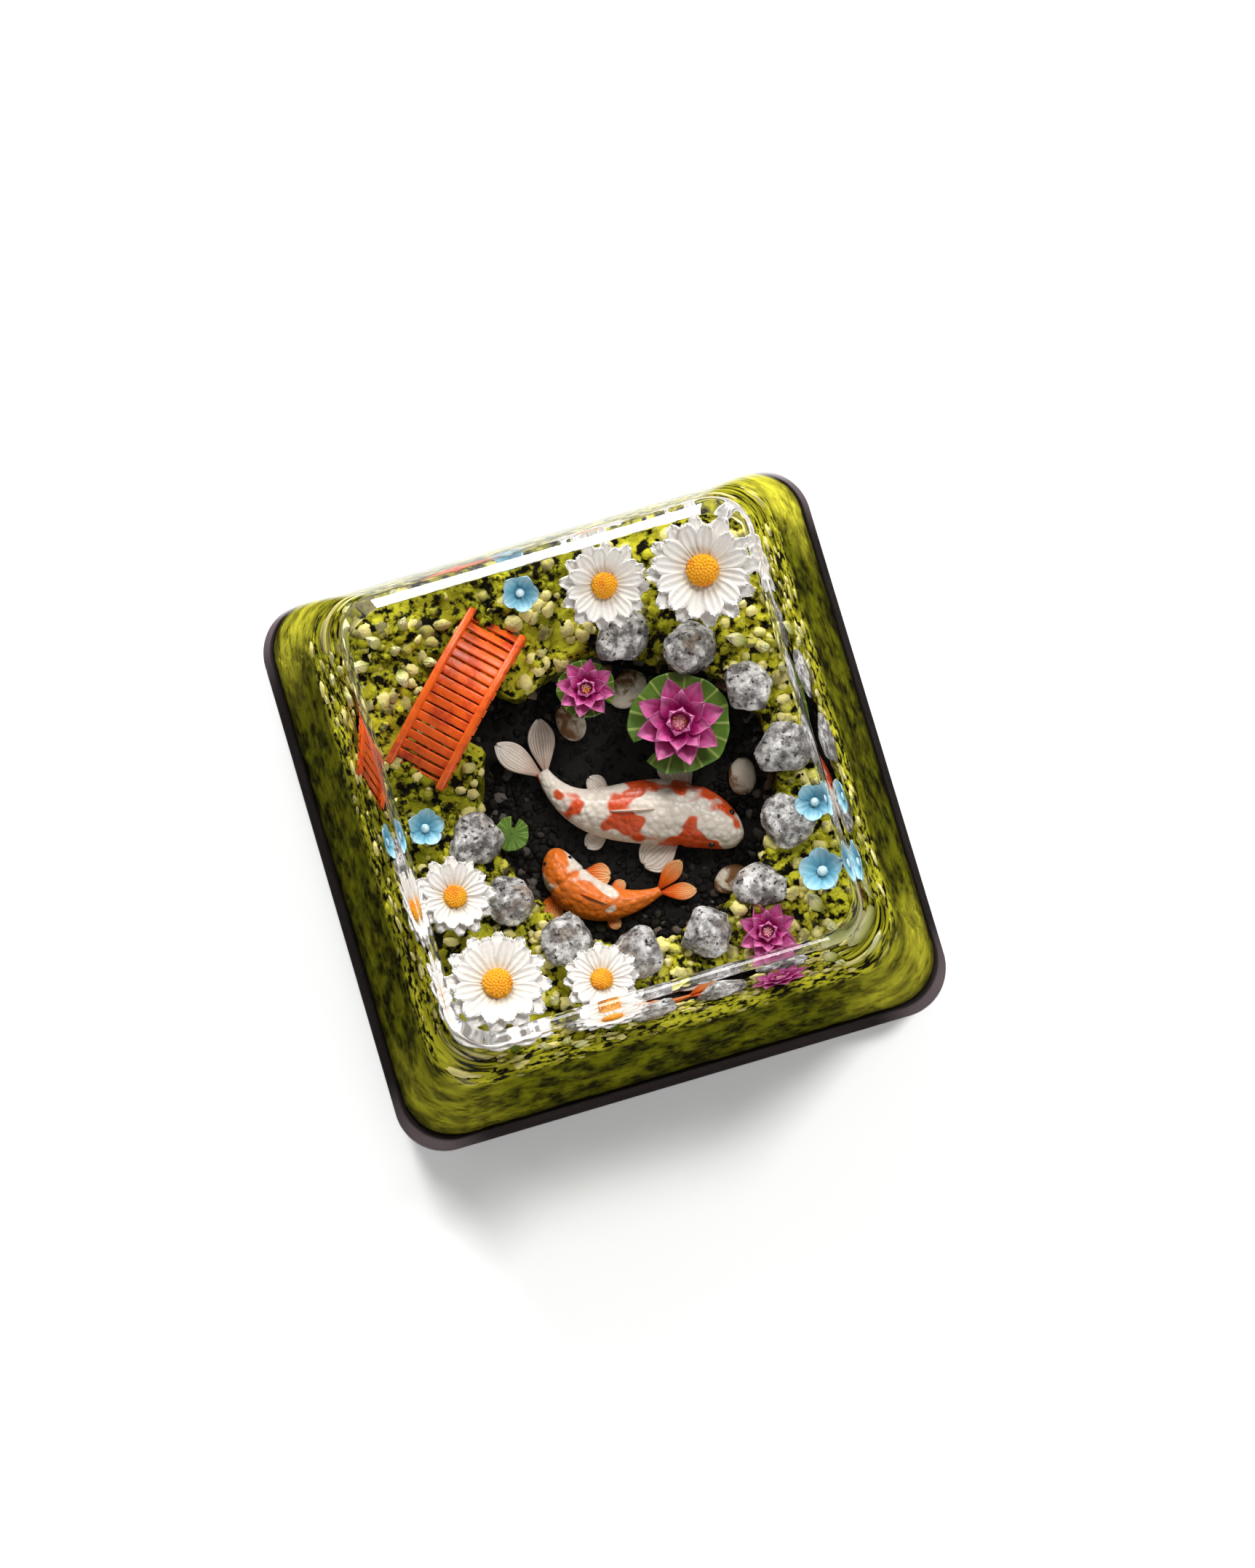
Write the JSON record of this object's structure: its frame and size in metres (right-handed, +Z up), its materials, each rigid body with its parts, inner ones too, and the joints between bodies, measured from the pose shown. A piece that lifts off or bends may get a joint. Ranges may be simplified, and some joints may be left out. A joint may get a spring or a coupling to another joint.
{
  "type": "keycap",
  "caption": "Clear cast keycap with sloping sides, a bevelled flat top, a cross stem socket in a square hollow, and a koi pond garden set in the resin.",
  "frame": {"origin": "centre of the rim face that the cap stands on", "axes": "+Z up through the top face, +Y towards the back of the keyboard, +X to the typist's right"},
  "size_m": [0.0182, 0.0182, 0.0115],
  "materials": {
    "clear_resin": "polished clear cast resin",
    "core_resin": "dark brown-black resin, satin",
    "moss": "fine flocked moss, lime to olive",
    "koi_white": "ivory enamel with orange patches",
    "koi_orange": "orange enamel with ivory patches",
    "bridge": "orange enamel, a little worn",
    "stone": "crumbly silver-grey mineral",
    "pebble": "smooth bone and tan pebble",
    "lily_pad": "satin green",
    "lotus": "magenta enamel, paler at the tips",
    "lotus_heart": "pale pink enamel",
    "daisy": "white enamel",
    "daisy_eye": "yellow-orange enamel",
    "blossom": "light blue enamel",
    "blossom_eye": "pale blue-white enamel",
    "sprig": "pale dry green"
  },
  "bodies": {
    "root": {"clear_casting": "clear_resin", "core": "core_resin", "moss_bank": "moss", "koi_large": "koi_white", "koi_small": "koi_orange", "bridge_deck": "bridge", "bridge_rail_left": "bridge", "bridge_rail_right": "bridge", "stone_1": "stone", "stone_2": "stone", "stone_3": "stone", "stone_4": "stone", "stone_5": "stone", "stone_6": "stone", "stone_7": "stone", "stone_8": "stone", "stone_9": "stone", "stone_10": "stone", "stone_11": "stone", "pebble_1": "pebble", "pebble_2": "pebble", "pebble_3": "pebble", "pebble_4": "pebble", "lily_pad_1": "lily_pad", "lily_pad_2": "lily_pad", "lily_pad_3": "lily_pad", "lotus_1": "lotus", "lotus_2": "lotus", "lotus_3": "lotus", "lotus_heart_1": "lotus_heart", "lotus_heart_2": "lotus_heart", "lotus_heart_3": "lotus_heart", "daisy_1": "daisy", "daisy_2": "daisy", "daisy_3": "daisy", "daisy_4": "daisy", "daisy_5": "daisy", "daisy_eye_1": "daisy_eye", "daisy_eye_2": "daisy_eye", "daisy_eye_3": "daisy_eye", "daisy_eye_4": "daisy_eye", "daisy_eye_5": "daisy_eye", "blossom_1": "blossom", "blossom_2": "blossom", "blossom_3": "blossom", "blossom_4": "blossom", "blossom_eye_1": "blossom_eye", "blossom_eye_2": "blossom_eye", "blossom_eye_3": "blossom_eye", "blossom_eye_4": "blossom_eye", "sprig_1": "sprig", "sprig_2": "sprig", "sprig_3": "sprig", "sprig_4": "sprig"}
  },
  "joints": []
}
